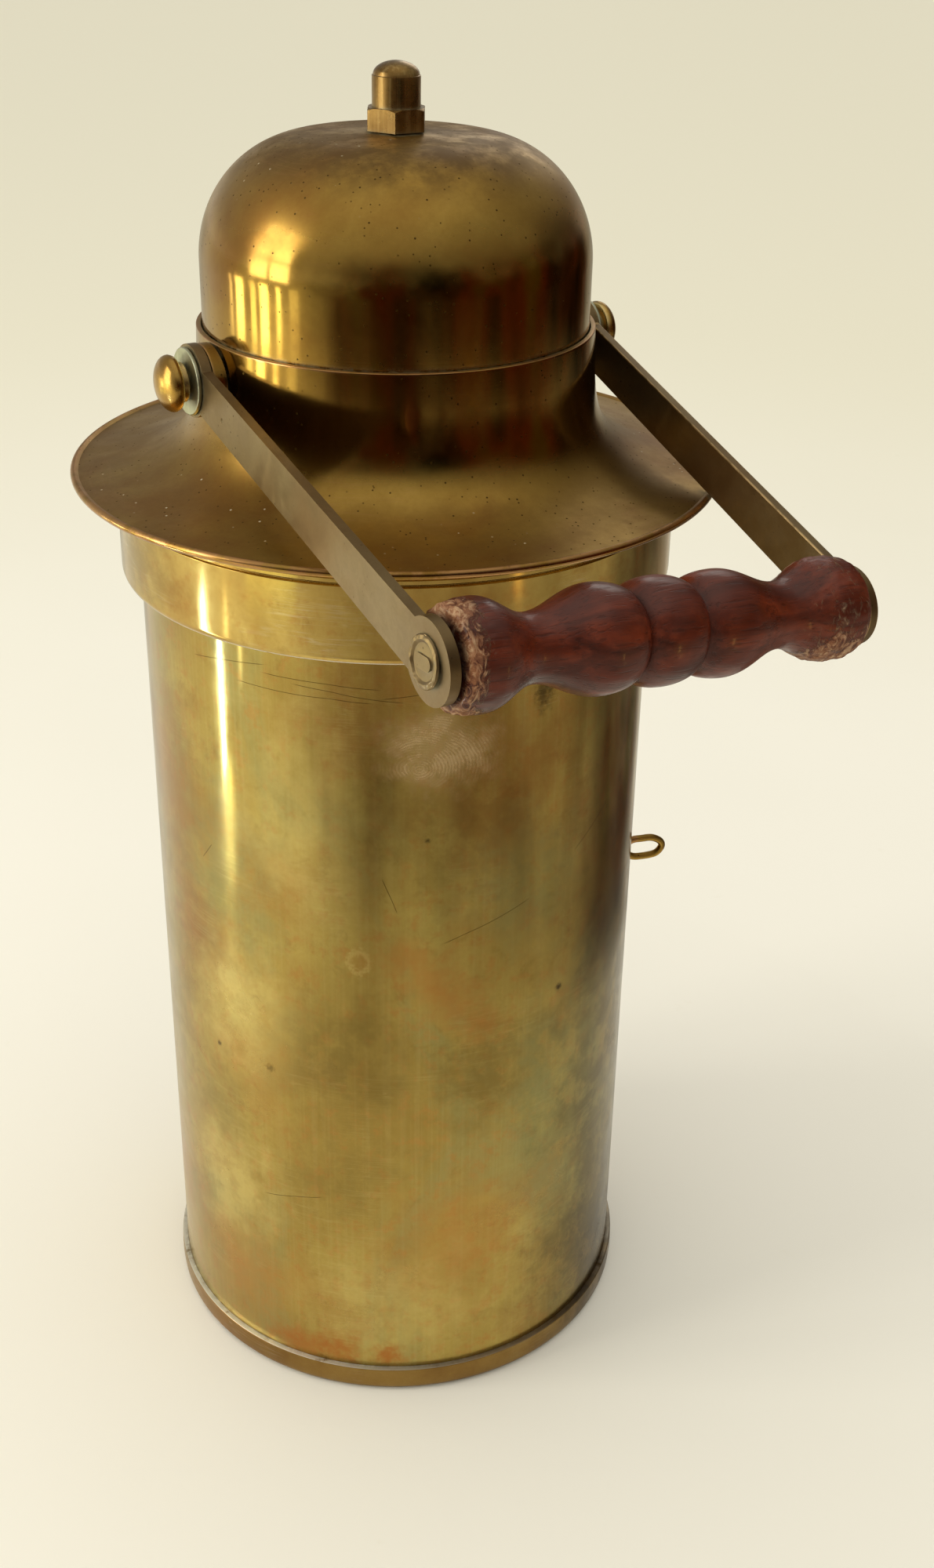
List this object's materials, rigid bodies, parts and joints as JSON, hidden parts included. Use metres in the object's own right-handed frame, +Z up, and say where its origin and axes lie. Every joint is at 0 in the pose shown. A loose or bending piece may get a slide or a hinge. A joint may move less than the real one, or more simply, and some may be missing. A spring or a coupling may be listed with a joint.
{
  "type": "hurricane lamp",
  "caption": "Upright cylindrical brass oil lantern with a flared cowl, domed cap, window door at the back and a swinging bail with a turned wooden grip.",
  "frame": {"origin": "centre of the base's flat underside", "axes": "+Z up along the lamp's axis, X along the bail's pivot axis with the winder key on the +X side, +Y out of the window door; the bail hangs towards -Y"},
  "size_m": [0.1484, 0.1901, 0.3194],
  "materials": {
    "body_brass": "rolled sheet, tarnished olive gold with brown and greenish patches",
    "band_brass": "rubbed, brighter olive yellow",
    "dark_brass": "spun, semi-gloss brown gold with dark specks",
    "strap_brass": "satin, dull grey brown",
    "burner_brass": "satin brass",
    "steel": "dull",
    "tinned": "polished tinned sheet",
    "wood": "varnished dark red brown, worn at the ends",
    "glass": "clear",
    "cotton": "woven wick"
  },
  "bodies": {
    "lamp": {"base_pan": "dark_brass", "body_shell": "body_brass", "lid_band": "band_brass", "cowl": "dark_brass", "neck_ring": "dark_brass", "dome": "dark_brass", "cap_nut": "dark_brass", "tie_rod": "steel", "cross_bar": "steel", "rod_nut_upper": "steel", "rod_nut_lower": "steel", "right_pivot_stud": "dark_brass", "right_pivot_washer": "steel", "right_pivot_spacer": "dark_brass", "right_pivot_nut": "steel", "left_pivot_stud": "dark_brass", "left_pivot_washer": "steel", "left_pivot_spacer": "dark_brass", "left_pivot_nut": "steel", "lower_hinge_body_leaf": "dark_brass", "lower_hinge_pin": "steel", "upper_hinge_body_leaf": "dark_brass", "upper_hinge_pin": "steel", "button_stud": "dark_brass", "button_spacer": "dark_brass", "flue_cone": "steel", "reflector": "tinned", "font_tray": "steel", "font": "burner_brass", "burner_collar": "burner_brass", "burner_body": "burner_brass", "wick_tube": "burner_brass", "gallery": "burner_brass", "flame_spreader": "burner_brass", "winder_bush": "dark_brass"},
    "bail": {"right_strap": "strap_brass", "left_strap": "strap_brass", "grip_rod": "steel", "grip_screw_right": "strap_brass", "grip_screw_left": "strap_brass"},
    "grip": {"grip": "wood"},
    "door": {"door_frame": "body_brass", "window_glass": "glass", "glass_retainer_top": "body_brass", "glass_retainer_bottom": "body_brass", "door_knob": "dark_brass", "lower_hinge_door_leaf": "dark_brass", "upper_hinge_door_leaf": "dark_brass"},
    "button": {"turn_button": "dark_brass"},
    "winder": {"winder_shaft": "burner_brass", "spur_wheel": "steel"},
    "wick": {"wick": "cotton"},
    "chimney": {"glass_chimney": "glass"},
    "filler_cap": {"filler_cap": "burner_brass"}
  },
  "joints": [
    {"name": "bail_swing", "type": "hinge", "parent": "lamp", "child": "bail", "pos_m": [0, 0, 0.2574], "axis": [-1, 0, 0], "range_deg": [0, 208]},
    {"name": "grip_spin", "type": "hinge", "parent": "bail", "child": "grip", "pos_m": [0, -0.10421, 0.22945], "axis": [0.9954, 0.0249, -0.093], "continuous": true},
    {"name": "door_swing", "type": "hinge", "parent": "lamp", "child": "door", "pos_m": [-0.04202, 0.04667, 0.11], "axis": [0, 0, 1], "range_deg": [0, 100]},
    {"name": "button_turn", "type": "hinge", "parent": "lamp", "child": "button", "pos_m": [0, 0, 0.12], "axis": [0.7431, 0.6691, 0], "range_deg": [0, 90]},
    {"name": "winder_turn", "type": "hinge", "parent": "lamp", "child": "winder", "pos_m": [0.00198, 0.00545, 0.12], "axis": [-0.9397, 0.342, 0], "range_deg": [-120, 60]},
    {"name": "wick_lift", "type": "slide", "parent": "lamp", "child": "wick", "axis": [0, 0, 1], "range_m": [-0.00879, 0.00439]},
    {"name": "chimney_lift", "type": "slide", "parent": "lamp", "child": "chimney", "axis": [0, 0, 1], "range_m": [0, 0.018]},
    {"name": "filler_cap_turn", "type": "hinge", "parent": "lamp", "child": "filler_cap", "pos_m": [0, 0.024, 0.1], "axis": [0, 0, 1], "range_deg": [0, 90]}
  ],
  "couplings": [
    {"joint": "winder_turn", "follows": "wick_lift", "rad_per_m": 238.1}
  ]
}
